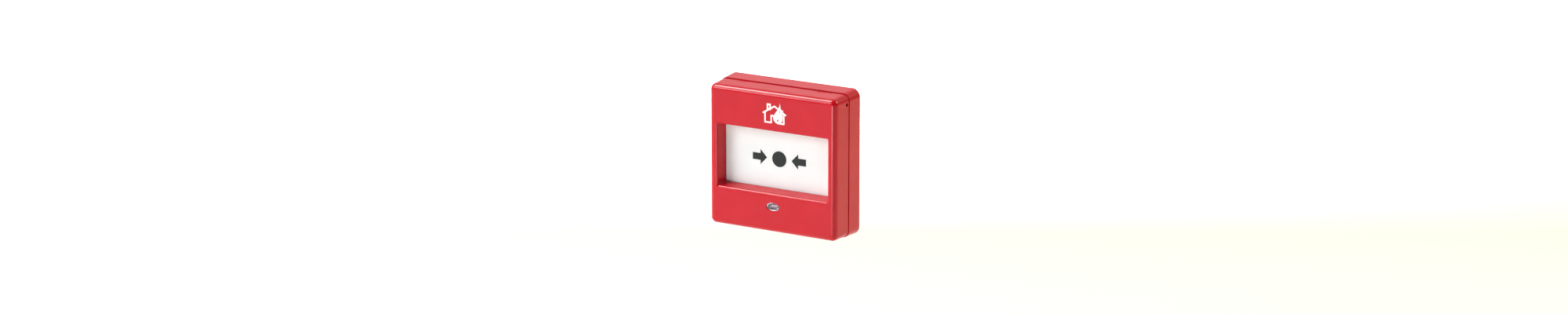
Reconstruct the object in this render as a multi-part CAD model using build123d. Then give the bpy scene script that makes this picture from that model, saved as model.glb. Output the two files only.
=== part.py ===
from build123d import *
import math
import os

os.makedirs("parts", exist_ok=True)

# Manual call point for a wall. Millimetres, +Z up. The wall is the plane y = 0 and the
# front looks along -Y. "Depth" is the distance in front of the wall, so depth d is y = -d.

# ---- outer shape ----
width = 87.0
height = 87.0
total_depth = 26.0
draft = 3.0
corner_radius = 5.0
front_fillet = 3.2
box_depth = 11.3
seam_gap = 0.3
cover_inset = 0.35
box_wall = 2.2
cover_wall = 2.0

# ---- window and operating plate ----
window_side_border = 5.05
window_height = 37.5
window_draft = 8.0
window_depth = 8.3
window_edge_fillet = 1.3
funnel_wall = 1.8
plate_gap = 0.4
plate_overlap = 1.3
plate_thickness = 1.4
carrier_thickness = 1.2
press_travel = 2.5
print_thickness = 0.12

# ---- printed signs ----
sign_stroke = 0.95
sign_apex = (1.8, 34.4)
sign_drop = 11.0
roof_half = 7.4
roof_drop = 4.8
sign_wall_x = 6.2
dot_radius = 4.7
arrow_tip = 8.2
arrow_tail = 17.7
arrow_shaft = 4.1
arrow_head_width = 8.9
arrow_head_length = 4.3

# ---- guide posts, springs and chassis ----
post_radius = 1.6
post_inset_x = 5.0
post_inset_z = 5.8
post_clearance = 0.25
chassis_thickness = 1.6
chassis_depth = 9.4
chassis_edge_gap = 1.0
chassis_height = 39.0
chassis_screw_inset_x = 2.2
chassis_screw_inset_z = 2.4
chassis_boss_radius = 2.4
chassis_pilot_radius = 0.95
chassis_screw_radius = 0.9
screw_access_radius = 4.6
chassis_screw_reach = 6.0
clip_radius = 2.5
clip_thickness = 0.6
spring_radius = 2.3
spring_wire = 0.4
spring_turns = 3

# ---- hinge at the top ----
hinge_radius = 2.0
pin_radius = 0.75
pin_length = 11.4
pin_fit = 0.05
lug_fit = 0.02
lug_width = 4.0
lug_x = 26.0
lug_clearance = 0.3
lug_arm = 1.6
knuckle_width = 12.0
lug_root_depth = 6.0

# ---- latch at the bottom ----
catch_width = 8.0
catch_thickness = 1.4
catch_reach = 3.2
catch_window_width = 5.0
catch_gap = 0.35
nose_thickness = 1.1
latch_body_height = 3.2
latch_width = 7.0
latch_pocket = 1.2
key_slot_width = 4.0
lip_thickness = 1.2
lip_height = 1.5
lip_gap = 0.3
lip_notch = 6.5

# ---- wall fixing and cable entry ----
wall_screw_spacing = 60.0
wall_screw_radius = 2.25
entry_radius = 5.5
entry_x = 32.0
entry_z = 28.0
grommet_bore = 3.5
grommet_lip = 1.3
knockout_skin = 0.6

# ---- circuit board and what it carries ----
board_width = 48.0
board_top = 31.0
board_bottom = -30.0
board_standoff = 1.4
board_thickness = 1.6
board_screw_inset = 3.0
board_boss_radius = 2.6
board_pilot_radius = 0.9
board_screw_radius = 0.85
screw_head_height = 0.9
lamp_x = 0.6
lamp_z = -26.5
lens_width = 8.6
lens_height = 4.7
lens_gap = 0.08
lens_flange = 0.8
led_below_lens = 3.6
lead_offset = 1.27
switch_width = 6.4
switch_height = 20.0
switch_body = 5.5
lever_thickness = 0.3
lever_hinge_radius = 0.5
lever_clearance = 0.1
lever_ear_wall = 0.3
lever_pin_radius = 0.38
lever_pivot_z = -9.0
lever_length = 20.0
lever_width = 4.6
plunger_z = -1.0
plunger_radius = 0.8
plunger_fit = 0.05
solder_pin_thickness = 0.5
solder_pin_width = 1.0
solder_pin_end = 1.1
solder_pin_zs = (-8.0, 0.0, 8.0)
terminal_pitch = 7.5
terminal_count = 4
terminal_height = 10.0
terminal_z = 26.0
terminal_block_depth = 9.0
terminal_well_radius = 2.4
terminal_floor = 1.5

# ---- sockets for the flap of a protective cover ----
socket_radius = 1.1
socket_length = 3.0
socket_wall = 1.3
socket_from_seam = 2.1
socket_below_top = 5.6

# ---- worked out from the values above ----
lean = math.tan(math.radians(draft))
cover_rear = box_depth + seam_gap
plate_front = total_depth - window_depth - plate_gap
carrier_rear = plate_front - plate_thickness - carrier_thickness
chassis_front = chassis_depth + chassis_thickness
board_depth = box_wall + board_standoff
board_front = board_depth + board_thickness
half_rear = width / 2 - cover_rear * lean - cover_inset
top_rear = height / 2 - cover_rear * lean - cover_inset
half_front = width / 2 - total_depth * lean - cover_inset
hinge_depth = cover_rear + hinge_radius
hinge_z = top_rear - hinge_radius
window_width = 2 * (half_front - window_side_border)
funnel_lean = window_depth * math.tan(math.radians(window_draft))
plate_width = window_width - 2 * funnel_lean + 2 * plate_overlap
plate_height = window_height - 2 * funnel_lean + 2 * plate_overlap
post_x = plate_width / 2 - post_inset_x
post_z = plate_height / 2 - post_inset_z
floor_inside_z = height / 2 - box_depth * lean - box_wall
lip_inside_x = half_rear - cover_wall - lip_gap - lip_thickness
chassis_width = 2 * (lip_inside_x - chassis_edge_gap)
chassis_screw_x = chassis_width / 2 - chassis_screw_inset_x
chassis_screw_z = chassis_height / 2 - chassis_screw_inset_z
lever_pivot_depth = board_front + switch_body + lever_hinge_radius + lever_clearance
boss_z = lever_pivot_z + lever_length
catch_top = -(top_rear - cover_wall) + 0.9 + catch_thickness
catch_window_front = box_depth - 0.6
nose_rear = catch_window_front - catch_gap - nose_thickness
latch_bottom = catch_top + 0.35
latch_top = latch_bottom + latch_body_height
spring_top = latch_top + 3.0


def at(depth):
    """Plane parallel to the wall at a depth, facing out of it."""
    return Plane.XZ.offset(depth)


def block(w, h, near, far, x=0.0, z=0.0, radius=0.0, taper=0.0):
    outline = RectangleRounded(w, h, radius) if radius else Rectangle(w, h)
    return extrude(at(near) * Pos(x, z) * outline, amount=far - near, taper=taper)


def rod(radius, near, far, x=0.0, z=0.0):
    return extrude(at(near) * Pos(x, z) * Circle(radius), amount=far - near)


def axle(radius, x0, x1, depth, z):
    """Round bar along X."""
    return extrude(Plane.YZ.offset(x0) * Pos(-depth, z) * Circle(radius), amount=x1 - x0)


def both_sides(make):
    return make(-1) + make(1)


def envelope(inset, near, far):
    """The leaning outer form, moved in by an inset, between two depths."""
    solid = block(width - 2 * inset, height - 2 * inset, 0, total_depth,
                  radius=corner_radius - inset, taper=draft)
    return solid & block(2 * width, 2 * height, near, far)


# ---- the box on the wall ----
def lip():
    """Inner lip that the cover closes over: sides and bottom, open at the top and at the catch."""
    root = envelope(box_wall - 0.3, box_depth - 3.3, box_depth)
    tip = envelope(cover_inset + cover_wall + lip_gap, box_depth, cover_rear + lip_height - seam_gap)
    inner = envelope(cover_inset + cover_wall + lip_gap + lip_thickness, 0, total_depth)
    ring = root + tip - inner
    lip_top = top_rear - socket_below_top - socket_radius - socket_wall - 1.0
    ring -= block(2 * width, height, 0, total_depth, z=lip_top + height / 2)
    return ring - block(2 * lip_notch, height, 0, total_depth, z=-height / 2)


def lug(side):
    """Fixed half of one hinge: a round eye on a thin arm from the box's top wall."""
    x0 = side * lug_x - lug_width / 2
    eye = axle(hinge_radius - 0.05, x0, x0 + lug_width, hinge_depth, hinge_z)
    arm = block(lug_width, lug_arm, lug_root_depth, hinge_depth, x=side * lug_x, z=hinge_z)
    root_bottom = hinge_z - lug_arm / 2 - 0.8
    root_top = floor_inside_z + 0.8
    root = block(lug_width, root_top - root_bottom, lug_root_depth, box_depth,
                 x=side * lug_x, z=(root_top + root_bottom) / 2)
    bore = axle(pin_radius + lug_fit, x0 - 1, x0 + lug_width + 1, hinge_depth, hinge_z)
    return eye + arm + root - bore


def back_box():
    shell = envelope(0, 0, box_depth) - envelope(box_wall, box_wall, total_depth)
    shell += lip()
    shell += both_sides(lug)
    for x in (-1, 1):
        for z in (-1, 1):
            cx, cz = x * chassis_screw_x, z * chassis_screw_z
            shell += rod(chassis_boss_radius, box_wall, chassis_depth, cx, cz)
            shell -= rod(chassis_pilot_radius, chassis_depth - chassis_screw_reach, chassis_depth, cx, cz)
            bx = x * (board_width / 2 - board_screw_inset)
            bz = (board_top - board_screw_inset) if z > 0 else (board_bottom + board_screw_inset)
            shell += rod(board_boss_radius, box_wall, board_depth, bx, bz)
            shell -= rod(board_pilot_radius, 0.8, board_depth, bx, bz)
    for side in (-1, 1):
        shell -= rod(wall_screw_radius, -1, box_wall + 1, x=side * wall_screw_spacing / 2)
    shell -= rod(entry_radius, -1, box_wall + 1, -entry_x, entry_z)
    knockout = rod(entry_radius + 0.5, knockout_skin, box_wall + 1, entry_x, entry_z)
    knockout -= rod(entry_radius - 0.5, knockout_skin, box_wall + 1, entry_x, entry_z)
    shell -= knockout
    # key slot in the bottom wall, under the latch
    shell -= block(key_slot_width, 4 * box_wall, nose_rear, nose_rear + nose_thickness,
                   z=-height / 2 + box_wall)
    # guides for the latch and the rib behind its spring
    guide_x = latch_width / 2 + 0.3
    for side in (-1, 1):
        shell += block(1.2, spring_top - latch_bottom + 1.4, box_wall, box_depth - 0.8,
                       x=side * (guide_x + 0.6), z=(spring_top + 1.4 + latch_bottom) / 2)
    shell += block(2 * guide_x + 2.4, 1.4, box_wall, box_depth - 0.8, z=spring_top + 0.7)
    return shell


# ---- the cover ----
def knuckle(side):
    """Moving half of one hinge, on the inside of the cover's top wall."""
    x0 = side * lug_x - knuckle_width / 2
    eye = axle(hinge_radius, x0, x0 + knuckle_width, hinge_depth, hinge_z)
    web = block(knuckle_width, hinge_radius + 1.2, hinge_depth, hinge_depth + 2.5,
                x=side * lug_x, z=hinge_z + 0.6 - hinge_radius / 2)
    return eye + web


def lug_room(side):
    """Space that the lug and its arm need in the cover from closed to fully open."""
    w = lug_width + 2 * lug_clearance
    x0 = side * lug_x - w / 2
    eye = axle(hinge_radius + 0.25, x0, x0 + w, hinge_depth, hinge_z)
    reach = lug_arm / 2 + lug_clearance
    sweep = block(w, 4 * hinge_radius, cover_rear - 1, hinge_depth + reach,
                  x=side * lug_x, z=hinge_z - reach + 2 * hinge_radius)
    return eye + sweep


def rear_top_round():
    """What is cut from the cover's rear top edge so that it turns clear of the box."""
    corner = block(2 * width, 2 * hinge_radius, cover_rear - 1, hinge_depth, z=hinge_z + hinge_radius)
    return corner - axle(hinge_radius, -width, width, hinge_depth, hinge_z)


def window_form(grow, near, far):
    """The window, or its wall's outside when grown, narrowing towards the operating plate."""
    spread = (far - near) * math.tan(math.radians(window_draft))
    rear = total_depth - window_depth
    shift = (rear - near) * math.tan(math.radians(window_draft))
    w = window_width - 2 * funnel_lean + 2 * grow - 2 * shift
    h = window_height - 2 * funnel_lean + 2 * grow - 2 * shift
    return loft([at(near) * RectangleRounded(w, h, 0.8 + grow),
                 at(far) * RectangleRounded(w + 2 * spread, h + 2 * spread, 0.8 + grow)])


def catch():
    """Tab at the cover's bottom that reaches into the box, with a window for the latch nose."""
    inner_face = -(top_rear - cover_wall)
    z_low = catch_top - catch_thickness
    tab = block(catch_width, catch_thickness, box_depth - catch_reach, cover_rear + 4,
                z=catch_top - catch_thickness / 2)
    foot = block(catch_width, catch_top - inner_face + 1, cover_rear + 1.4, cover_rear + 4,
                 z=(catch_top + inner_face - 1) / 2)
    window = block(catch_window_width, 3 * catch_thickness, nose_rear - catch_gap, catch_window_front,
                   z=z_low + catch_thickness / 2)
    return tab + foot - window


def front_cover():
    outer = envelope(cover_inset, 0, total_depth)
    outer = fillet(outer.faces().sort_by(Axis.Y)[0].edges(), front_fillet)
    outer &= block(2 * width, 2 * height, cover_rear, total_depth + 1)
    inner = envelope(cover_inset + cover_wall, 0, total_depth - cover_wall)
    knuckles = both_sides(knuckle)
    socket_z = top_rear - socket_below_top
    socket_depth = cover_rear + socket_from_seam
    bosses = both_sides(lambda s: axle(socket_radius + socket_wall, *sorted(
        (s * (half_rear - 0.8), s * (half_rear - socket_length - 1.2))), socket_depth, socket_z))
    shell = outer - inner + knuckles
    shell += (bosses & envelope(cover_inset + 0.5, cover_rear, total_depth))
    shell += window_form(funnel_wall, total_depth - window_depth, total_depth - 1)
    shell -= window_form(0, total_depth - window_depth - 1, total_depth + 2)
    near_front = shell.faces().sort_by(Axis.Y)[0]
    window_edges = near_front.inner_wires()[0].edges()
    shell = fillet(window_edges, window_edge_fillet)
    shell -= both_sides(lug_room)
    shell -= rear_top_round()
    shell -= both_sides(lambda s: axle(pin_radius + pin_fit, *sorted(
        (s * (lug_x - pin_length / 2 - 0.1), s * (lug_x + pin_length / 2 + 0.1))), hinge_depth, hinge_z))
    shell -= both_sides(lambda s: axle(socket_radius, *sorted(
        (s * (half_rear - socket_length), s * width)), socket_depth, socket_z))
    shell -= lens_form(lens_gap, total_depth - cover_wall - 1, total_depth + 1)
    return shell + catch()


def lens_form(grow, near, far):
    """Oval outline of the indicator lens."""
    outline = Ellipse(lens_width / 2 + grow, lens_height / 2 + grow)
    return extrude(at(near) * Pos(lamp_x, lamp_z) * outline, amount=far - near)


def led_lens():
    rear = total_depth - cover_wall
    body = lens_form(0, rear - lens_flange, total_depth - 0.15)
    body += lens_form(0.9, rear - lens_flange, rear)
    return body - rod(1.9, rear - lens_flange - 0.1, rear + 0.4, lamp_x, lamp_z)


def hinge_pins():
    return both_sides(lambda s: axle(pin_radius, s * lug_x - pin_length / 2,
                                     s * lug_x + pin_length / 2, hinge_depth, hinge_z))


# ---- printed signs ----


def bar(x0, z0, x1, z1, w=sign_stroke):
    """Straight stroke with square ends between two points, relative to the roof's apex."""
    length = math.dist((x0, z0), (x1, z1)) + w * 0.6
    angle = math.degrees(math.atan2(z1 - z0, x1 - x0))
    return Pos((x0 + x1) / 2, (z0 + z1) / 2) * Rot(0, 0, angle) * Rectangle(length, w)


def flame():
    """Flame in front of the house's right half, with its two small openings."""
    tip, foot = (3.5, 1.7), (2.3, -10.9)
    left = Spline(tip, (2.6, -1.7), (0.2, -5.2), (-0.8, -7.8), (0.2, -9.8), foot)
    right = Spline(foot, (4.4, -10.0), (5.4, -7.8), (5.3, -5.0), (5.5, -3.2))
    shoulder = Polyline((5.5, -3.2), (5.9, -2.5), (4.9, -2.6), (4.1, -1.7), (3.9, -0.4), tip)
    shape = make_face([left, right, shoulder])
    eye = Pos(3.5, -3.6) * Circle(0.42)
    corners = [(-0.75, -0.3), (-0.2, -1.5), (0.1, -1.5), (1.0, 0.6), (-0.1, -0.4)]
    hollow = Pos(2.2, -8.2) * Polygon(*corners, align=None)
    return shape - eye - hollow


def house():
    """House outline with a chimney and an open doorway."""
    base = -sign_drop + sign_stroke / 2
    left = bar(0, -0.7, -roof_half, -roof_drop - 0.4) + bar(-sign_wall_x, -4.8, -sign_wall_x, base)
    left += bar(-sign_wall_x, base, -2.1, base) + bar(-2.1, base, -2.1, -6.4) + bar(-2.1, -6.4, -0.4, -6.4)
    right = bar(0, -0.7, roof_half, -roof_drop - 0.4) + bar(sign_wall_x, -4.8, sign_wall_x, base)
    right += bar(2.4, base, sign_wall_x, base)
    chimney = Pos(-3.7, -1.4) * (Rectangle(2.7, 3.8) - Pos(0, 0.1) * Rectangle(0.8, 1.6))
    return left + right + chimney


def house_symbol():
    outline = house() + flame()
    return extrude(at(total_depth) * Pos(*sign_apex) * outline, amount=print_thickness)


def arrow(side):
    neck = arrow_tip + arrow_head_length
    shaft, head = arrow_shaft / 2, arrow_head_width / 2
    points = [(arrow_tip, 0), (neck, head), (neck, shaft), (arrow_tail, shaft),
              (arrow_tail, -shaft), (neck, -shaft), (neck, -head)]
    return make_face(Polyline(*[(side * x, z) for x, z in points], close=True))


def plate_symbols():
    shapes = Circle(dot_radius) + arrow(-1) + arrow(1)
    return extrude(at(plate_front) * shapes, amount=print_thickness)


# ---- operating plate and what it slides in ----
def operating_plate():
    plate = block(plate_width, plate_height, plate_front - plate_thickness, plate_front, radius=1.2)
    return chamfer(plate.faces().sort_by(Axis.Y)[0].edges(), 0.3)


def at_posts(make):
    solids = None
    for x in (-1, 1):
        for z in (-1, 1):
            piece = make(x * post_x, z * post_z)
            solids = piece if solids is None else solids + piece
    return solids


post_end = chassis_depth - 1.6
clip_near = chassis_depth - 0.3 - clip_thickness


def plate_carrier():
    frame = block(plate_width - 0.8, plate_height - 0.8, carrier_rear, carrier_rear + carrier_thickness,
                  radius=1.0)
    for x in (-1, 1):
        frame -= block(plate_width / 2 - 17, plate_height - 12, carrier_rear - 1, carrier_rear + 0.6,
                       x=x * (plate_width / 4 - 3), radius=1.0)
    frame += at_posts(lambda x, z: rod(post_radius, post_end, carrier_rear + 0.5, x, z))
    frame -= at_posts(lambda x, z: rod(3, clip_near, clip_near + clip_thickness, x, z)
                      - rod(post_radius - 0.4, clip_near - 1, clip_near + 2, x, z))
    boss_end = lever_pivot_depth + press_travel + 0.35
    return frame + block(3.6, 3.0, boss_end, carrier_rear + 0.5, z=boss_z - 1.6)


def post_clips():
    def clip(x, z):
        ring = rod(clip_radius, clip_near, clip_near + clip_thickness, x, z)
        ring -= rod(post_radius - 0.4, clip_near - 1, clip_near + 2, x, z)
        return ring - block(1.6, 6, clip_near - 1, clip_near + 2, x=x, z=z - 3.2)
    return at_posts(clip)


def coil(radius, wire, near, far, x, z, turns):
    """Helical spring along the depth, ends resting on the faces it pushes."""
    length = far - near - wire * 2
    path = Helix(pitch=length / turns, height=length, radius=radius - wire)
    section = Plane(origin=path @ 0, z_dir=path % 0) * Circle(wire)
    spring = sweep(section, path=path, is_frenet=True)
    return at(near + wire) * Pos(x, z) * spring


def plate_springs():
    return at_posts(lambda x, z: coil(spring_radius, spring_wire / 2, chassis_front, carrier_rear,
                                      x, z, spring_turns))


def chassis():
    plate = block(chassis_width, chassis_height, chassis_depth, chassis_front, radius=2.0)
    plate -= at_posts(lambda x, z: rod(post_radius + post_clearance, 0, total_depth, x, z))
    plate -= block(16.0, 30.0, 0, total_depth, z=1.0, radius=1.5)
    rib_end = chassis_front + 1.0
    rib_z = chassis_height / 2 - 0.6
    for side in (-1, 1):
        plate -= rod(screw_access_radius, 0, total_depth, x=side * wall_screw_spacing / 2)
        for z in (-1, 1):
            plate += block(8.0, 1.2, chassis_front, rib_end, x=side * 18, z=z * rib_z)
            plate -= rod(1.3, 0, total_depth, side * chassis_screw_x, z * chassis_screw_z)
    return plate


def screw(x, z, seat, shank, head, reach):
    """Pan head screw with a cross recess, its head on a seat and its shank going in."""
    body = rod(shank, seat - reach, seat, x, z) + rod(head, seat, seat + screw_head_height, x, z)
    body = fillet(body.faces().sort_by(Axis.Y)[0].edges(), screw_head_height / 3)
    cross = Rectangle(head * 1.3, 0.45) + Rectangle(0.45, head * 1.3)
    return body - extrude(at(seat + screw_head_height / 2) * Pos(x, z) * cross, amount=1)


def chassis_screws():
    reach = chassis_screw_reach
    return [screw(x * chassis_screw_x, z * chassis_screw_z, chassis_front, chassis_screw_radius, 2.0, reach)
            for x in (-1, 1) for z in (-1, 1)]


# ---- circuit board and what is on it ----
board_screw_x = board_width / 2 - board_screw_inset
board_screw_zs = (board_bottom + board_screw_inset, board_top - board_screw_inset)


def circuit_board():
    mid = (board_top + board_bottom) / 2
    board = block(board_width, board_top - board_bottom, board_depth, board_front, z=mid, radius=1.0)
    for x in (-1, 1):
        for z in board_screw_zs:
            board -= rod(1.2, 0, total_depth, x * board_screw_x, z)
    for z in solder_pin_zs:
        board -= block(solder_pin_width + 0.2, solder_pin_thickness + 0.2, 0, total_depth, z=z)
    # room for the latch guides at the bottom edge
    return board - block(2 * (latch_width / 2 + 2.0), 8, 0, total_depth, z=spring_top + 1.8 - 4)


def board_screws():
    return [screw(x * board_screw_x, z, board_front, board_screw_radius, 1.9, 3.6)
            for x in (-1, 1) for z in board_screw_zs]


def led_spacer():
    rear = total_depth - cover_wall
    tube = rod(2.3, board_front, rear - lens_flange - led_below_lens, lamp_x, lamp_z)
    for x in (-1, 1):
        tube -= rod(0.35, 0, total_depth, lamp_x + x * lead_offset, lamp_z)
    return tube


def indicator_led():
    rear = total_depth - cover_wall - lens_flange - led_below_lens
    led = rod(1.9, rear, rear + 0.8, lamp_x, lamp_z) + rod(1.5, rear + 0.8, rear + 1.8, lamp_x, lamp_z)
    dome = at(rear + 1.8) * Pos(lamp_x, lamp_z) * Sphere(1.5)
    led += dome & block(6, 6, rear + 1.7, rear + 4, x=lamp_x, z=lamp_z)
    for x in (-1, 1):
        led += rod(0.25, board_front, rear + 0.2, lamp_x + x * lead_offset, lamp_z)
    return led


def switch_shell():
    far = board_front + switch_body
    ear_front = lever_pivot_depth + lever_pin_radius + pin_fit + lever_ear_wall
    body = block(switch_width, switch_height, board_front, far)
    body -= rod(plunger_radius + plunger_fit, far - 2.4, far + 1, 0, plunger_z)
    for side in (-1, 1):
        ear = block(0.9, 3.0, far - 1.0, ear_front, x=side * (switch_width / 2 - 0.45), z=lever_pivot_z)
        body += ear
    body -= axle(lever_pin_radius + pin_fit, -switch_width, switch_width, lever_pivot_depth, lever_pivot_z)
    return body


def switch_plunger():
    far = lever_pivot_depth + press_travel * (plunger_z - lever_pivot_z) / lever_length - 0.2
    return rod(plunger_radius, board_front + switch_body - 1.2, far, 0, plunger_z)


def switch_lever():
    """Spring steel strip on its pin, standing forward by the plate's travel at its far end."""
    tilt = math.degrees(math.atan2(press_travel, lever_length))
    strip_length = lever_length - 0.1
    strip = Pos(0, 0, strip_length / 2) * Box(lever_width - 0.5, lever_thickness, strip_length)
    pin_holder = Rot(0, 90, 0) * Cylinder(lever_hinge_radius, lever_width - 0.5)
    pin = Rot(0, 90, 0) * Cylinder(lever_pin_radius, switch_width - 0.1)
    lever = Rot(tilt, 0, 0) * (strip + pin_holder) + pin
    return Pos(0, -lever_pivot_depth, lever_pivot_z) * lever


def switch_terminals():
    return [block(solder_pin_width, solder_pin_thickness, board_depth - solder_pin_end, board_front, z=z)
            for z in solder_pin_zs]


terminal_xs = [(i - (terminal_count - 1) / 2) * terminal_pitch for i in range(terminal_count)]
terminal_front = board_front + terminal_block_depth
terminal_seat = board_front + terminal_floor


def terminal_block():
    row = terminal_count * terminal_pitch
    body = block(row, terminal_height, board_front, terminal_front, z=terminal_z)
    for x in terminal_xs:
        body -= rod(terminal_well_radius, terminal_seat, terminal_front + 1, x, terminal_z)
        body -= block(4.0, terminal_height, terminal_seat, terminal_seat + 4.0, x=x, z=terminal_z + 3.0)
    return body


def wire_clamps():
    clamps = []
    for x in terminal_xs:
        cage = block(3.6, 3.2, terminal_seat, terminal_seat + 3.7, x=x, z=terminal_z + 0.4)
        cage -= block(2.4, 6, terminal_seat + 0.8, terminal_seat + 2.9, x=x, z=terminal_z + 0.4)
        clamps.append(cage)
    return clamps


def terminal_screws():
    seat = terminal_seat + 5.1
    return [screw(x, terminal_z, seat, 1.0, 1.9, 1.3) for x in terminal_xs]


def controller_chip():
    chip = block(8.0, 8.0, board_front + 0.15, board_front + 1.5, x=15.0, z=-8.0)
    leads = []
    for side in (-1, 1):
        for i in range(6):
            z = -8.0 + (i - 2.5) * 1.27
            leads.append(block(1.2, 0.45, board_front, board_front + 0.5, x=15.0 + side * 4.4, z=z))
    for lead in leads:
        chip += lead
    return chip


def chip_resistors():
    places = [(-16, 12), (-16, 8), (-16, 4), (16, 12), (16, 8), (16, 4)]
    return [block(2.0, 1.25, board_front, board_front + 0.6, x=x, z=z) for x, z in places]


def capacitors():
    cans = []
    for z in (-6.0, -14.0):
        can = rod(2.6, board_front, board_front + 3.2, -15, z)
        cans.append(fillet(can.faces().sort_by(Axis.Y)[0].edges(), 0.4))
    return cans


# ---- latch ----
def cover_latch():
    body = block(latch_width, latch_body_height, box_wall + 0.4, box_depth - 1.0,
                 z=latch_bottom + latch_body_height / 2)
    nose_height = catch_thickness + 1.2
    nose = block(catch_window_width - 0.8, nose_height, nose_rear, nose_rear + nose_thickness,
                 z=latch_bottom - nose_height / 2 + 0.3)
    floor = Plane.XY.offset(latch_top - latch_pocket)
    pocket = extrude(floor * Pos(0, -(box_wall + box_depth) / 2) * Circle(1.9), amount=2)
    return body + nose - pocket


def latch_spring():
    """Small helical spring along Z between the latch and the rib above it."""
    wire = 0.2
    near, far = latch_top - latch_pocket + wire, spring_top - wire
    path = Helix(pitch=(far - near) / 4, height=far - near, radius=1.4)
    spring = sweep(Plane(origin=path @ 0, z_dir=path % 0) * Circle(wire), path=path, is_frenet=True)
    return Pos(0, -(box_wall + box_depth) / 2, near) * spring


def cable_grommet():
    ring = rod(entry_radius - 0.05, 0, box_wall, -entry_x, entry_z)
    ring += rod(entry_radius + grommet_lip, box_wall, box_wall + 1.4, -entry_x, entry_z)
    ring = fillet(ring.faces().sort_by(Axis.Y)[0].edges(), 0.5)
    return ring - rod(grommet_bore, -1, total_depth, -entry_x, entry_z)


def save(shape, name):
    solids = shape if isinstance(shape, list) else shape.solids()
    solids = [s for item in solids for s in item.solids()]
    export_step(solids[0] if len(solids) == 1 else Compound(children=solids), f"parts/{name}.step")


nodes = [back_box, front_cover, hinge_pins, led_lens, house_symbol, plate_symbols, operating_plate,
         plate_carrier, post_clips, plate_springs, chassis, chassis_screws, circuit_board, board_screws,
         led_spacer, indicator_led, switch_shell, switch_plunger, switch_lever, switch_terminals,
         terminal_block, wire_clamps, terminal_screws, controller_chip, chip_resistors, capacitors,
         cover_latch, latch_spring, cable_grommet]
for make in nodes:
    save(make(), make.__name__)
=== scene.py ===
import math
import bmesh
import bpy
import numpy as np
from mathutils import Matrix, Vector


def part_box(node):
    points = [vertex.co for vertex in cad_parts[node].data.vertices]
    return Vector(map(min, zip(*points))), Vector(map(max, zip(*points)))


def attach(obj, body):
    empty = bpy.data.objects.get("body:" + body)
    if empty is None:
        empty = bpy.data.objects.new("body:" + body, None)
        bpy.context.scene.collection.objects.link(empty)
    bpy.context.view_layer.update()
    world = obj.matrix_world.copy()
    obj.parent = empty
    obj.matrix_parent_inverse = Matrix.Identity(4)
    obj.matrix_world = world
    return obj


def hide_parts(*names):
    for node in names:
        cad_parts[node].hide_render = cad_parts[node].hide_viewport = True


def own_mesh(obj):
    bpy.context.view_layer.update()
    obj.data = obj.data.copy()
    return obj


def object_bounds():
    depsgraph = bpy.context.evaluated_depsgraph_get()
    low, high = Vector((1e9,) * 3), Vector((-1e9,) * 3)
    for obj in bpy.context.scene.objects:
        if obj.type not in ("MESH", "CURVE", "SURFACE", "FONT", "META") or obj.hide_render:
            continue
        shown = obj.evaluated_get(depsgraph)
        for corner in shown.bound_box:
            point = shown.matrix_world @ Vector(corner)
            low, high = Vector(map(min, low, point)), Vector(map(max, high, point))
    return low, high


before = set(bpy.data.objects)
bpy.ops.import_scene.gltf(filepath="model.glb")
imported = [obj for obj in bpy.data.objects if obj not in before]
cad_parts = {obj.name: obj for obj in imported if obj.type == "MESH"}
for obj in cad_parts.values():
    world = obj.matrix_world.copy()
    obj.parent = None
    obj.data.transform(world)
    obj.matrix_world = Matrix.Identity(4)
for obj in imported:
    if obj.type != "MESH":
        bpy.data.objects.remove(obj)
cadLow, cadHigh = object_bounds()
mm = 0.001
print("frame loaded:", len(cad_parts), "nodes")


# sRGB hex colour to linear light: the power curve of the sRGB standard, channel by channel.
def hexToLinear(text):
    srgb = np.array([int(text[i:i + 2], 16) for i in (1, 3, 5)]) / 255.0
    linear = np.where(srgb <= 0.04045, srgb / 12.92, ((srgb + 0.055) / 1.055) ** 2.4)
    return (*linear.tolist(), 1.0)


# One node with its properties and socket values, and links from other nodes' outputs.
def addNode(tree, kind, settings=None, links=None):
    node = tree.nodes.new(kind)
    for key, value in (settings or {}).items():
        if isinstance(key, str) and hasattr(node, key):
            setattr(node, key, value)
        else:
            node.inputs[key].default_value = value
    for key, source in (links or {}).items():
        tree.links.new(source, node.inputs[key])
    return node


def startMaterial(name):
    material = bpy.data.materials.new(name)
    material.use_nodes = True
    tree = material.node_tree
    tree.nodes.clear()
    coords = addNode(tree, "ShaderNodeTexCoord")
    return material, tree, coords.outputs["Object"]


def finishMaterial(tree, shader):
    addNode(tree, "ShaderNodeOutputMaterial", links={"Surface": shader.outputs[0]})


# Noise scale whose features are about this many millimetres across.
def perMillimetre(size):
    return 1000.0 / size


def twoTone(tree, fac, dark, light, low=0.3, high=0.7):
    ramp = addNode(tree, "ShaderNodeValToRGB", links={"Fac": fac})
    ramp.color_ramp.elements[0].position = low
    ramp.color_ramp.elements[1].position = high
    ramp.color_ramp.elements[0].color = hexToLinear(dark)
    ramp.color_ramp.elements[1].color = hexToLinear(light)
    return ramp.outputs["Color"]


def roughRange(tree, fac, low, high):
    spread = addNode(tree, "ShaderNodeMapRange", {"To Min": low, "To Max": high}, {"Value": fac})
    return spread.outputs["Result"]


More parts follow.
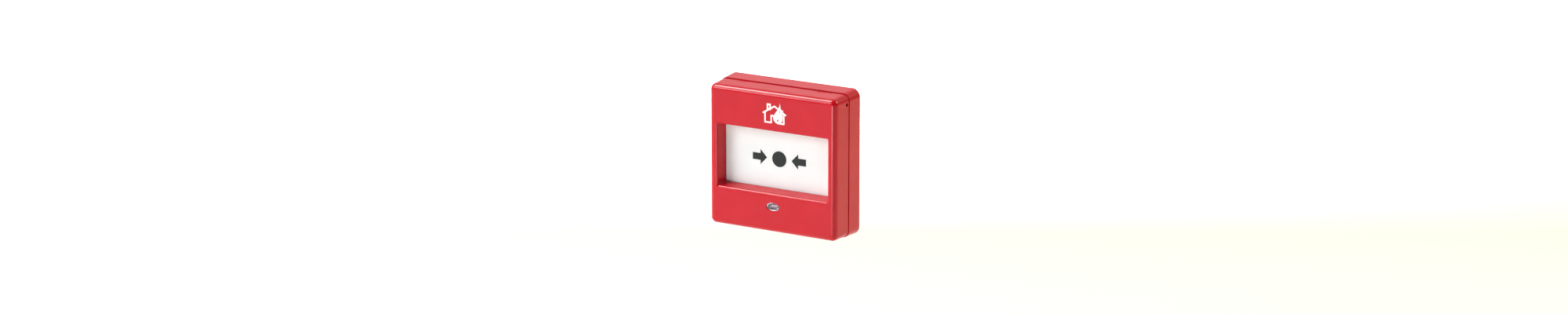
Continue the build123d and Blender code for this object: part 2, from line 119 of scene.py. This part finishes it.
# Injection moulding: an even pigment with slow clouds, and a fine spark-eroded grain.
def mouldedPlastic(name, dark, light, rough=(0.3, 0.4), grain=0.35, bump=0.04, clouds=14.0,
                   ior=1.5, coat=0.0, coatRough=0.1):
    material, tree, place = startMaterial(name)
    cloud = addNode(tree, "ShaderNodeTexNoise", {"Scale": perMillimetre(clouds), "Detail": 3.0},
                    {"Vector": place})
    fine = addNode(tree, "ShaderNodeTexNoise", {"Scale": perMillimetre(grain), "Detail": 2.0},
                   {"Vector": place})
    height = addNode(tree, "ShaderNodeBump", {"Strength": bump * 5, "Distance": 0.02 * mm},
                     {"Height": fine.outputs["Fac"]})
    shader = addNode(tree, "ShaderNodeBsdfPrincipled",
                     {"IOR": ior, "Coat Weight": coat, "Coat Roughness": coatRough},
                     {"Base Color": twoTone(tree, cloud.outputs["Fac"], dark, light),
                      "Roughness": roughRange(tree, fine.outputs["Fac"], *rough),
                      "Normal": height.outputs["Normal"]})
    finishMaterial(tree, shader)
    return material


# Drawn or turned steel: fine marks along one way, under a thin plating.
def platedSteel(name, dark, light, rough=(0.2, 0.4), lines=0.12, stretch=(1, 1, 1)):
    material, tree, place = startMaterial(name)
    turned = addNode(tree, "ShaderNodeMapping", {"Scale": stretch}, {"Vector": place})
    marks = addNode(tree, "ShaderNodeTexNoise", {"Scale": perMillimetre(lines), "Detail": 4.0},
                    {"Vector": turned.outputs["Vector"]})
    cloud = addNode(tree, "ShaderNodeTexNoise", {"Scale": perMillimetre(1.4), "Detail": 3.0},
                    {"Vector": place})
    height = addNode(tree, "ShaderNodeBump", {"Strength": 0.12, "Distance": 0.01 * mm},
                     {"Height": marks.outputs["Fac"]})
    shader = addNode(tree, "ShaderNodeBsdfPrincipled", {"Metallic": 1.0},
                     {"Base Color": twoTone(tree, cloud.outputs["Fac"], dark, light),
                      "Roughness": roughRange(tree, marks.outputs["Fac"], *rough),
                      "Normal": height.outputs["Normal"]})
    finishMaterial(tree, shader)
    return material


# Screen-printed ink: matt, with a little mottling where the mesh left it thinner.
def screenPrint(name, dark, light, rough=0.55):
    material, tree, place = startMaterial(name)
    mottle = addNode(tree, "ShaderNodeTexNoise", {"Scale": perMillimetre(0.6), "Detail": 4.0},
                     {"Vector": place})
    shader = addNode(tree, "ShaderNodeBsdfPrincipled", {"IOR": 1.48},
                     {"Base Color": twoTone(tree, mottle.outputs["Fac"], dark, light),
                      "Roughness": roughRange(tree, mottle.outputs["Fac"], rough - 0.08, rough + 0.08)})
    finishMaterial(tree, shader)
    return material


# Clear polycarbonate: smooth, polished in the mould, with faint flow marks.
def clearPlastic(name, tint, rough=0.04, ior=1.58):
    material, tree, place = startMaterial(name)
    flow = addNode(tree, "ShaderNodeTexNoise", {"Scale": perMillimetre(1.2), "Detail": 2.0},
                   {"Vector": place})
    height = addNode(tree, "ShaderNodeBump", {"Strength": 0.05, "Distance": 0.02 * mm},
                     {"Height": flow.outputs["Fac"]})
    shader = addNode(tree, "ShaderNodeBsdfPrincipled",
                     {"IOR": ior, "Transmission Weight": 1.0, "Base Color": hexToLinear(tint)},
                     {"Normal": height.outputs["Normal"],
                      "Roughness": roughRange(tree, flow.outputs["Fac"], rough, rough + 0.05)})
    finishMaterial(tree, shader)
    return material


# Glass-epoxy board under green solder resist, woven glass showing faintly through. The real weave is about
# 0.6 mm; it is drawn at 1.2 mm so that it shows. A band texture repeats every pi / 10 divided by its scale.
def solderMask(name):
    material, tree, place = startMaterial(name)
    waves = []
    for way in ("X", "Z"):
        waves.append(addNode(tree, "ShaderNodeTexWave",
                             {"bands_direction": way, "Scale": perMillimetre(1.2) * math.pi / 10,
                              "Distortion": 0.3},
                             {"Vector": place}).outputs["Fac"])
    weave = addNode(tree, "ShaderNodeMath", {"operation": "MULTIPLY"}, {0: waves[0], 1: waves[1]})
    height = addNode(tree, "ShaderNodeBump", {"Strength": 0.1, "Distance": 0.02 * mm},
                     {"Height": weave.outputs["Value"]})
    shader = addNode(tree, "ShaderNodeBsdfPrincipled", {"IOR": 1.55},
                     {"Base Color": twoTone(tree, weave.outputs["Value"], "#0B4A22", "#156B34", 0.0, 1.0),
                      "Roughness": roughRange(tree, weave.outputs["Value"], 0.22, 0.34),
                      "Normal": height.outputs["Normal"]})
    finishMaterial(tree, shader)
    return material


materials = {
    # ABS, spark-eroded satin: even fire red, soft highlight that breaks up slightly
    "redAbs": mouldedPlastic("redAbsSatin", "#C20C20", "#C91024", rough=(0.2, 0.26), grain=0.4, bump=0.03,
                             ior=1.43),
    # ABS, polished matt: near-white plate with a soft even sheen
    "whiteAbs": mouldedPlastic("whiteAbsPlate", "#F0F7F7", "#F4FAFA",
                               rough=(0.38, 0.48), grain=0.5, bump=0.03),
    # screen ink, dark grey with a green cast: flat, hardly any highlight
    "darkInk": screenPrint("darkGreyInk", "#101B1B", "#172323"),
    # opaque white screen ink: flat and slightly warm
    "whiteInk": screenPrint("whiteInk", "#F4F2F0", "#FCFAF8"),
    # glass-filled nylon: greyish black, streaked along the flow
    "blackNylon": mouldedPlastic("blackGlassNylon", "#1A1B1D", "#26282A",
                                 rough=(0.45, 0.6), grain=0.3, bump=0.06),
    # PBT, moulded: deep black with a low even sheen
    "pbtBlack": mouldedPlastic("blackPbtHousing", "#121314", "#1B1C1D", rough=(0.32, 0.42), grain=0.25),
    # acetal, moulded: waxy red
    "redPlunger": mouldedPlastic("redAcetalPlunger", "#A81C14", "#B8241A", rough=(0.25, 0.35), grain=0.2),
    # polyamide, moulded: the usual green of terminal blocks, satin
    "greenPolyamide": mouldedPlastic("greenPolyamideBlock", "#12703A", "#188044",
                                     rough=(0.35, 0.45), grain=0.25),
    # glazed alumina: small hard dark blocks
    "ceramicDark": mouldedPlastic("resistorCeramic", "#191919", "#242424", rough=(0.3, 0.45), grain=0.15),
    # cast epoxy, tinted: glossy red
    "ledTint": mouldedPlastic("tintedLedEpoxy", "#B01515", "#C21B1B",
                              rough=(0.08, 0.14), grain=0.6, bump=0.01),
    # moulded rubber: matt grey-black with a soft bloom
    "rubber": mouldedPlastic("blackRubber", "#141414", "#1E1D1C", rough=(0.6, 0.78), grain=0.3, bump=0.08),
    # drawn steel wire and strip: grey with fine marks
    "springSteel": platedSteel("drawnSpringSteel", "#8C8C88", "#A9A9A4", rough=(0.22, 0.38)),
    # zinc-plated steel: bright, faintly blue
    "zincSteel": platedSteel("zincPlatedSteel", "#A9ACAE", "#C6C9CC", rough=(0.2, 0.36)),
    # stamped brass: yellow under a thin tin coat
    "tinnedBrass": platedSteel("tinnedBrass", "#B49A62", "#CDB888", rough=(0.24, 0.4)),
    # drawn aluminium: pale and clean
    "canAluminium": platedSteel("drawnAluminiumCan", "#B9BABD", "#D4D5D8", rough=(0.18, 0.3), lines=0.08),
    # polycarbonate, polished in the mould: clear with a trace of grey
    "clearLens": clearPlastic("clearPolycarbonate", "#F6F4F8"),
    # glass-epoxy laminate under green resist: semi-gloss with a faint weave
    "board": solderMask("greenSolderMaskOnLaminate"),
    # aluminium laid on plastic in a vacuum: a mirror with painted reflection in its colour, the pink tint
    # standing for the red around it and the dark mottling for dark reflections
    "chromeWithPaintedReflection": platedSteel("metallisedPlasticPaintedReflection", "#6E4F5C", "#DCC4CE",
                                rough=(0.03, 0.09), lines=0.5),
    # the same coat on a textured edge, made pale: a soft ring of painted highlight
    "paintedHighlightChrome": platedSteel("metallisedRimPaintedHighlight", "#E6DFE2", "#F6F1F3", rough=(0.3, 0.45), lines=0.5),
    # green resist over copper: lighter than the board and a little raised
    "trackResist": mouldedPlastic("resistOverCopper", "#1D7A3C", "#238746",
                                  rough=(0.2, 0.3), grain=0.3, bump=0.02),
    # reflowed tin solder: smooth bright grey
    "solder": platedSteel("tinSolder", "#B5B7B8", "#D2D4D4", rough=(0.16, 0.3), lines=0.3),
}
print("materials ready:", len(materials))

# which finish each carried-over node has
finishes = {
    "redAbs": ["back_box", "front_cover"],
    "whiteAbs": ["operating_plate"],
    "darkInk": ["plate_symbols"],
    "whiteInk": ["house_symbol"],
    "blackNylon": ["plate_carrier", "chassis", "cover_latch", "led_spacer"],
    "pbtBlack": ["switch_shell", "controller_chip"],
    "ceramicDark": ["chip_resistors"],
    "redPlunger": ["switch_plunger"],
    "greenPolyamide": ["terminal_block"],
    "ledTint": ["indicator_led"],
    "rubber": ["cable_grommet"],
    "springSteel": ["plate_springs", "latch_spring", "switch_lever", "post_clips"],
    "zincSteel": ["hinge_pins", "chassis_screws", "board_screws", "terminal_screws"],
    "tinnedBrass": ["wire_clamps", "switch_terminals"],
    "canAluminium": ["capacitors"],
    "board": ["circuit_board"],
}
for finish, nodeNames in finishes.items():
    for nodeName in nodeNames:
        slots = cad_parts[nodeName].data.materials
        slots.clear()
        slots.append(materials[finish])
print("finishes on the carried-over nodes")

# Each spring's joint, axis and travel, and a mesh of its own for each spring.
springSet = {
    "plate_springs": {"joint": "plate_press", "axis": (0, 1, 0), "travel": 2.5 * mm},
    "latch_spring": {"joint": "latch_slide", "axis": (0, 0, 1), "travel": 2.0 * mm},
}
for springName, values in springSet.items():
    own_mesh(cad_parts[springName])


# Puts a new mesh on its body, its faces turned outwards.
def linkPiece(name, mesh, finish, body, smooth=True):
    turned = bmesh.new()
    turned.from_mesh(mesh)
    bmesh.ops.recalc_face_normals(turned, faces=turned.faces)
    turned.to_mesh(mesh)
    turned.free()
    mesh.materials.append(materials[finish])
    mesh.shade_smooth() if smooth else mesh.shade_flat()
    piece = bpy.data.objects.new(name, mesh)
    bpy.context.scene.collection.objects.link(piece)
    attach(piece, body)
    return piece


# Closed shells from grids of points: each row of a grid is a ring, neighbouring rings are joined by
# four-cornered faces, and one face closes the shell at the first ring and one at the last.
def gridMesh(name, grids):
    points, faces = [], []
    for grid in grids:
        rings, around = grid.shape[:2]
        start = sum(len(p) for p in points)
        ids = start + np.arange(rings * around).reshape(rings, around)
        turned = np.roll(ids, -1, axis=1)
        quads = np.stack([ids[:-1], ids[1:], turned[1:], turned[:-1]], axis=-1).reshape(-1, 4)
        faces += quads.tolist() + [ids[0].tolist(), ids[-1][::-1].tolist()]
        points.append(grid.reshape(-1, 3))
    mesh = bpy.data.meshes.new(name)
    mesh.from_pydata(np.concatenate(points).tolist(), [], faces)
    mesh.update()
    return mesh


# Ellipse by its angle t: x is half the width times cos t, z is half the height times sin t.
def ovalRing(width, height, count):
    t = np.linspace(0, 2 * np.pi, count, endpoint=False)
    return np.stack([width / 2 * np.cos(t), height / 2 * np.sin(t)], axis=-1)


# Rings of one oval, each given as how far it lies inside the full outline and its y.
def ovalShell(centre, width, height, rings, count):
    out = []
    for inset, y in rings:
        flat = ovalRing(width - 2 * inset, height - 2 * inset, count)
        out.append(np.stack([centre[0] + flat[:, 0], np.full(count, y), centre[1] + flat[:, 1]], axis=-1))
    return np.array(out)


lensSet = {
    "flange": 0.9 * mm,     # width of the CAD lens's flange, which stays behind the cover
    "around": 64,
    "edge": 0.4 * mm,       # radius of the rounded edge
    "edgeFlat": 0.6,        # how deep that edge is, as a share of its radius
    "edgeSteps": 10,
    "crown": 0.1 * mm,
    "crownSteps": 8,
    "skin": 0.55 * mm,
    "step": 0.25 * mm,
    "pole": 0.97,           # how far the innermost ring is in, as a share of half the height
}


# Centre, size, front and inside face of the indicator window, from the CAD lens without its flange.
def lensSizes():
    low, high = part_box("led_lens")
    centre = ((low[0] + high[0]) / 2, (low[2] + high[2]) / 2)
    width = high[0] - low[0] - 2 * lensSet["flange"]
    height = high[2] - low[2] - 2 * lensSet["flange"]
    return centre, width, height, low[1], low[1] + lensSet["skin"] + lensSet["edge"]


# Clear window, from the middle of its face outwards: a cone that rises by the crown, a quarter-round edge,
# a straight wall, and a flat back.
def makeLens():
    centre, width, height, front, inside = lensSizes()
    edge, half = lensSet["edge"], height / 2
    insets = edge + np.linspace(1, 0, lensSet["crownSteps"])[:-1] * (half - edge) * lensSet["pole"]
    crown = [(inset, front - lensSet["crown"] * (inset - edge) / half) for inset in insets]
    turn = np.linspace(0, np.pi / 2, lensSet["edgeSteps"])
    rounded = [(edge * (1 - np.sin(q)), front + edge * (1 - np.cos(q)) * lensSet["edgeFlat"]) for q in turn]
    back = [(0.0, inside), (lensSet["step"], inside), (half * lensSet["pole"], inside)]
    shell = ovalShell(centre, width, height, crown + rounded + back, lensSet["around"])
    return linkPiece("indicator_window", gridMesh("indicator_window", [shell]), "clearLens", "cover")


reflectorSet = {
    "facets": 11,
    "rings": 5,
    "behind": 0.36 * mm,    # gap from the window's inside face to the bowl's edge
    "inset": 0.3 * mm,
    "floor": 0.6 * mm,      # half the height of the bowl's flat bottom
    "depth": 1.2 * mm,
    "curve": 0.8,
    "push": 0.7 * mm,
    "wall": 0.08 * mm,
    "backing": 0.25 * mm,
}


# Metallised bowl behind the window. Ring s, from 0 at the edge to 1 at the bottom, lies at depth times s to
# the power of curve, and every other corner is pushed back so that flat facets sparkle. A second skin
# behind the first closes it.
def makeReflector():
    centre, width, height, front, inside = lensSizes()
    count = reflectorSet["facets"] * 2
    edge = inside + reflectorSet["behind"]
    slope = height / 2 - reflectorSet["inset"] - reflectorSet["floor"]
    steps = np.linspace(0, 1, reflectorSet["rings"])
    rings = [(reflectorSet["inset"] + slope * s, edge + reflectorSet["depth"] * s ** reflectorSet["curve"])
             for s in steps]
    bowl = ovalShell(centre, width, height, rings, count)
    corners = np.add.outer(np.arange(len(rings)), np.arange(count)) % 2 - 0.5
    push = reflectorSet["push"] * corners[1:-1]
    bowl[1:-1, :, 1] += push
    backing = [(inset - reflectorSet["wall"], y + reflectorSet["backing"]) for inset, y in rings[::-1]]
    outer = ovalShell(centre, width, height, backing, count)
    outer[1:-1, :, 1] += push * 0.2
    mesh = gridMesh("lens_reflector", [np.concatenate([outer, bowl])[::-1]])
    # the bowl's finish carries painted reflection: pink and dark tints set into the metal's colour
    return linkPiece("lens_reflector", mesh, "chromeWithPaintedReflection", "cover", smooth=False)


rimSet = {"behind": 0.02 * mm, "inset": 0.1 * mm, "width": 0.42 * mm, "depth": 0.3 * mm}


# Painted highlight at the edge of the bowl, a pale ring: a rectangle carried round the oval, closed both
# ways.
def makeRim():
    centre, width, height, front, inside = lensSizes()
    near = inside + rimSet["behind"]
    far = near + rimSet["depth"]
    outer, inner = rimSet["inset"], rimSet["inset"] + rimSet["width"]
    profile = [(outer, near), (inner, near), (inner, far), (outer, far)]
    grid = ovalShell(centre, width, height, profile, lensSet["around"])
    ids = np.arange(grid.shape[0] * grid.shape[1]).reshape(grid.shape[:2])
    below, beside = np.roll(ids, -1, axis=0), np.roll(ids, -1, axis=1)
    quads = np.stack([ids, below, np.roll(below, -1, axis=1), beside], axis=-1).reshape(-1, 4)
    mesh = bpy.data.meshes.new("lens_rim")
    mesh.from_pydata(grid.reshape(-1, 3).tolist(), [], quads.tolist())
    # the pale ring is painted highlight at the bowl's edge
    return linkPiece("lens_rim", mesh, "paintedHighlightChrome", "cover", smooth=False)


lens = makeLens()
reflector = makeReflector()
rim = makeRim()
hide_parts("led_lens")
print("indicator window and reflector ready")

trackSet = {
    "count": 7,
    "width": 0.7 * mm,
    "height": 0.05 * mm,
    "pitch": 2.3 * mm,      # between runs, once they have spread
    "spread": 5.5 * mm,     # kept free either side of the switch
    "fanOut": 1.2 * mm,
    "lowest": -18.0 * mm,
    "endStep": 3.0 * mm,
}


# Flat copper run: a low trapezoid section carried along a path of points in the board's plane.
def trackGrid(path, width, height, y):
    path = np.array(path, dtype=float)
    along = np.gradient(path, axis=0)
    along /= np.linalg.norm(along, axis=1)[:, None]
    side = np.stack([-along[:, 1], along[:, 0]], axis=-1)
    offsets = np.array([-0.5, -0.4, 0.4, 0.5]) * width
    lift = np.array([0.0, 1.0, 1.0, 0.0]) * height
    flat = path[:, None, :] + side[:, None, :] * offsets[None, :, None]
    ys = np.broadcast_to(y - lift[None, :], flat.shape[:2])
    return np.stack([flat[..., 0], ys, flat[..., 1]], axis=-1)


# Copper runs under the resist, from the terminals down past the switch.
def makeTracks():
    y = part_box("circuit_board")[0][1]
    low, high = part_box("terminal_block")
    grids = []
    for i in range(trackSet["count"]):
        fromMiddle = i - trackSet["count"] // 2
        x0 = low[0] + (i + 0.5) * (high[0] - low[0]) / trackSet["count"]
        x1 = fromMiddle * trackSet["pitch"] + (trackSet["spread"] if fromMiddle > 0 else -trackSet["spread"])
        bend = low[2] - 3 * mm - abs(fromMiddle) * trackSet["fanOut"]
        end = trackSet["lowest"] + abs(fromMiddle) * trackSet["endStep"]
        path = [(x0, low[2] + 1 * mm), (x0, bend), (x1, bend - abs(x1 - x0)), (x1, end)]
        grids.append(trackGrid(path, trackSet["width"], trackSet["height"], y))
    piece = linkPiece("board_tracks", gridMesh("board_tracks", grids), "trackResist", "box", smooth=False)


solderSet = {
    "padRadius": 0.62 * mm,
    "padHeight": 0.42 * mm,
    "chipLength": 2.0 * mm,
    "rows": (4 * mm, 8 * mm, 12 * mm),
    "canPadRadius": 0.9 * mm,
    "canPadHeight": 0.35 * mm,
    "canRadius": 2.6 * mm,
    "canPadGap": 0.5 * mm,
}


# Small dome on the board: a half ellipse turned about its own axis.
def domeGrid(x, z, y, radius, height, around=14, steps=5):
    q = np.linspace(0.05, 1, steps) * np.pi / 2
    t = np.linspace(0, 2 * np.pi, around, endpoint=False)
    r = radius * np.sin(q)[:, None]
    ys = np.broadcast_to(y - height * np.cos(q)[:, None], (steps, around))
    return np.stack([x + r * np.cos(t), ys, z + r * np.sin(t)], axis=-1)


# Solder on the pads either side of each chip resistor and at the capacitors.
def makeSolder():
    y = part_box("circuit_board")[0][1]
    low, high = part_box("chip_resistors")
    grids = []
    for x in (low[0], low[0] + solderSet["chipLength"], high[0] - solderSet["chipLength"], high[0]):
        for z in solderSet["rows"]:
            grids.append(domeGrid(x, z, y, solderSet["padRadius"], solderSet["padHeight"]))
    low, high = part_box("capacitors")
    for z in (low[2] + solderSet["canRadius"], high[2] - solderSet["canRadius"]):
        for x in (low[0] - solderSet["canPadGap"], high[0] + solderSet["canPadGap"]):
            grids.append(domeGrid(x, z, y, solderSet["canPadRadius"], solderSet["canPadHeight"]))
    piece = linkPiece("solder_joints", gridMesh("solder_joints", grids), "solder", "box")


makeTracks()
makeSolder()
print("board detail ready")

floorSet = {"half": 6.0, "drop": 0.12, "colour": "#FAFAFA"}


# A flat square of four corners below the lowest point.
def makeFloor():
    half = floorSet["half"]
    z = cadLow.z - floorSet["drop"]
    corners = [(-half, -half, z), (half, -half, z), (half, half, z), (-half, half, z)]
    mesh = bpy.data.meshes.new("floor")
    mesh.from_pydata(corners, [], [(0, 1, 2, 3)])
    material, tree = startMaterial("paleFloorPaint")[:2]
    shader = addNode(tree, "ShaderNodeBsdfPrincipled",
                     {"Base Color": hexToLinear(floorSet["colour"]), "Roughness": 0.9, "IOR": 1.3})
    finishMaterial(tree, shader)
    mesh.materials.append(material)
    floor = bpy.data.objects.new("floor", mesh)
    bpy.context.scene.collection.objects.link(floor)


makeFloor()

# Azimuth is from the front, positive to the right, and elevation is above the horizon, in degrees. A light
# faces the part, or with aim the spot on the floor at that azimuth and distance.
lightSet = {
    "topSoftbox": {"azimuth": -62, "elevation": 56, "distance": 1.2, "size": 0.28, "power": 8.5},
    "frontSoftbox": {"azimuth": -40, "elevation": 25, "distance": 1.9, "size": 0.8, "power": 16.6},
    "sideSoftbox": {"azimuth": 125, "elevation": 34, "distance": 1.0, "size": 0.4, "power": 6.2,
                    "colour": "#FFEDBE"},
    "edgeStrip": {"azimuth": 4, "elevation": -10, "distance": 0.6, "size": 0.09, "power": 0.6},
    "floorWash": {"azimuth": 209, "elevation": 41, "distance": 1.1, "size": 0.5, "power": 38.0,
                  "aim": (209, 2.6)},
}


def direction(azimuth, elevation):
    a, e = math.radians(azimuth), math.radians(elevation)
    return Vector((math.sin(a) * math.cos(e), -math.cos(a) * math.cos(e), math.sin(e)))


def makeLight(name, azimuth, elevation, distance, size, power, aim=None, colour="#FFFFFF"):
    data = bpy.data.lights.new(name, "AREA")
    data.shape = "SQUARE"
    data.size = size
    data.energy = power
    data.color = hexToLinear(colour)[:3]
    lamp = bpy.data.objects.new(name, data)
    place = direction(azimuth, elevation) * distance
    target = direction(aim[0], 0) * aim[1] + Vector((0, 0, cadLow.z - floorSet["drop"])) if aim else Vector()
    facing = (target - place).to_track_quat("-Z", "Y").to_matrix().to_4x4()
    lamp.matrix_world = Matrix.Translation(place) @ facing
    lamp.visible_camera = False
    bpy.context.scene.collection.objects.link(lamp)


for lightName, values in lightSet.items():
    makeLight(lightName, **values)

worldSet = {"darkSide": (0.8, -0.6, 0.0), "from": 0.3, "to": -0.6, "low": 0.0, "high": 0.8}


# Studio surround: bright above and behind, falling off towards the front right.
def makeWorld():
    world = bpy.data.worlds.new("studio")
    world.use_nodes = True
    tree = world.node_tree
    tree.nodes.clear()
    coords = addNode(tree, "ShaderNodeTexCoord")
    side = addNode(tree, "ShaderNodeVectorMath", {"operation": "DOT_PRODUCT", 1: worldSet["darkSide"]},
                   {0: coords.outputs["Generated"]})
    level = addNode(tree, "ShaderNodeMapRange",
                    {"From Min": worldSet["from"], "From Max": worldSet["to"],
                     "To Min": worldSet["low"], "To Max": worldSet["high"]},
                    {"Value": side.outputs["Value"]})
    glow = addNode(tree, "ShaderNodeBackground", {"Color": (1, 1, 1, 1)},
                   {"Strength": level.outputs["Result"]})
    addNode(tree, "ShaderNodeOutputWorld", links={"Surface": glow.outputs[0]})
    bpy.context.scene.world = world


makeWorld()
bpy.context.scene.view_settings.view_transform = "Standard"

cameraSet = {"azimuth": 29.8, "elevation": 15.23, "distance": 1.9083, "lens": 75.17,
             "right": -5.89 * mm, "up": -2.65 * mm}


# Looks along the azimuth and elevation at the centre of the box's back face, slid sideways and down.
def makeCamera():
    back = direction(cameraSet["azimuth"], cameraSet["elevation"])
    right = Vector((0, 0, 1)).cross(back).normalized()
    up = back.cross(right)
    data = bpy.data.cameras.new("camera")
    data.lens = cameraSet["lens"]
    data.clip_start, data.clip_end = 0.05, 50
    camera = bpy.data.objects.new("camera", data)
    place = back * cameraSet["distance"] + right * cameraSet["right"] + up * cameraSet["up"]
    camera.matrix_world = Matrix.Translation(place) @ (-back).to_track_quat("-Z", "Y").to_matrix().to_4x4()
    bpy.context.scene.collection.objects.link(camera)
    bpy.context.scene.camera = camera


makeCamera()
print("floor, lights and camera ready")
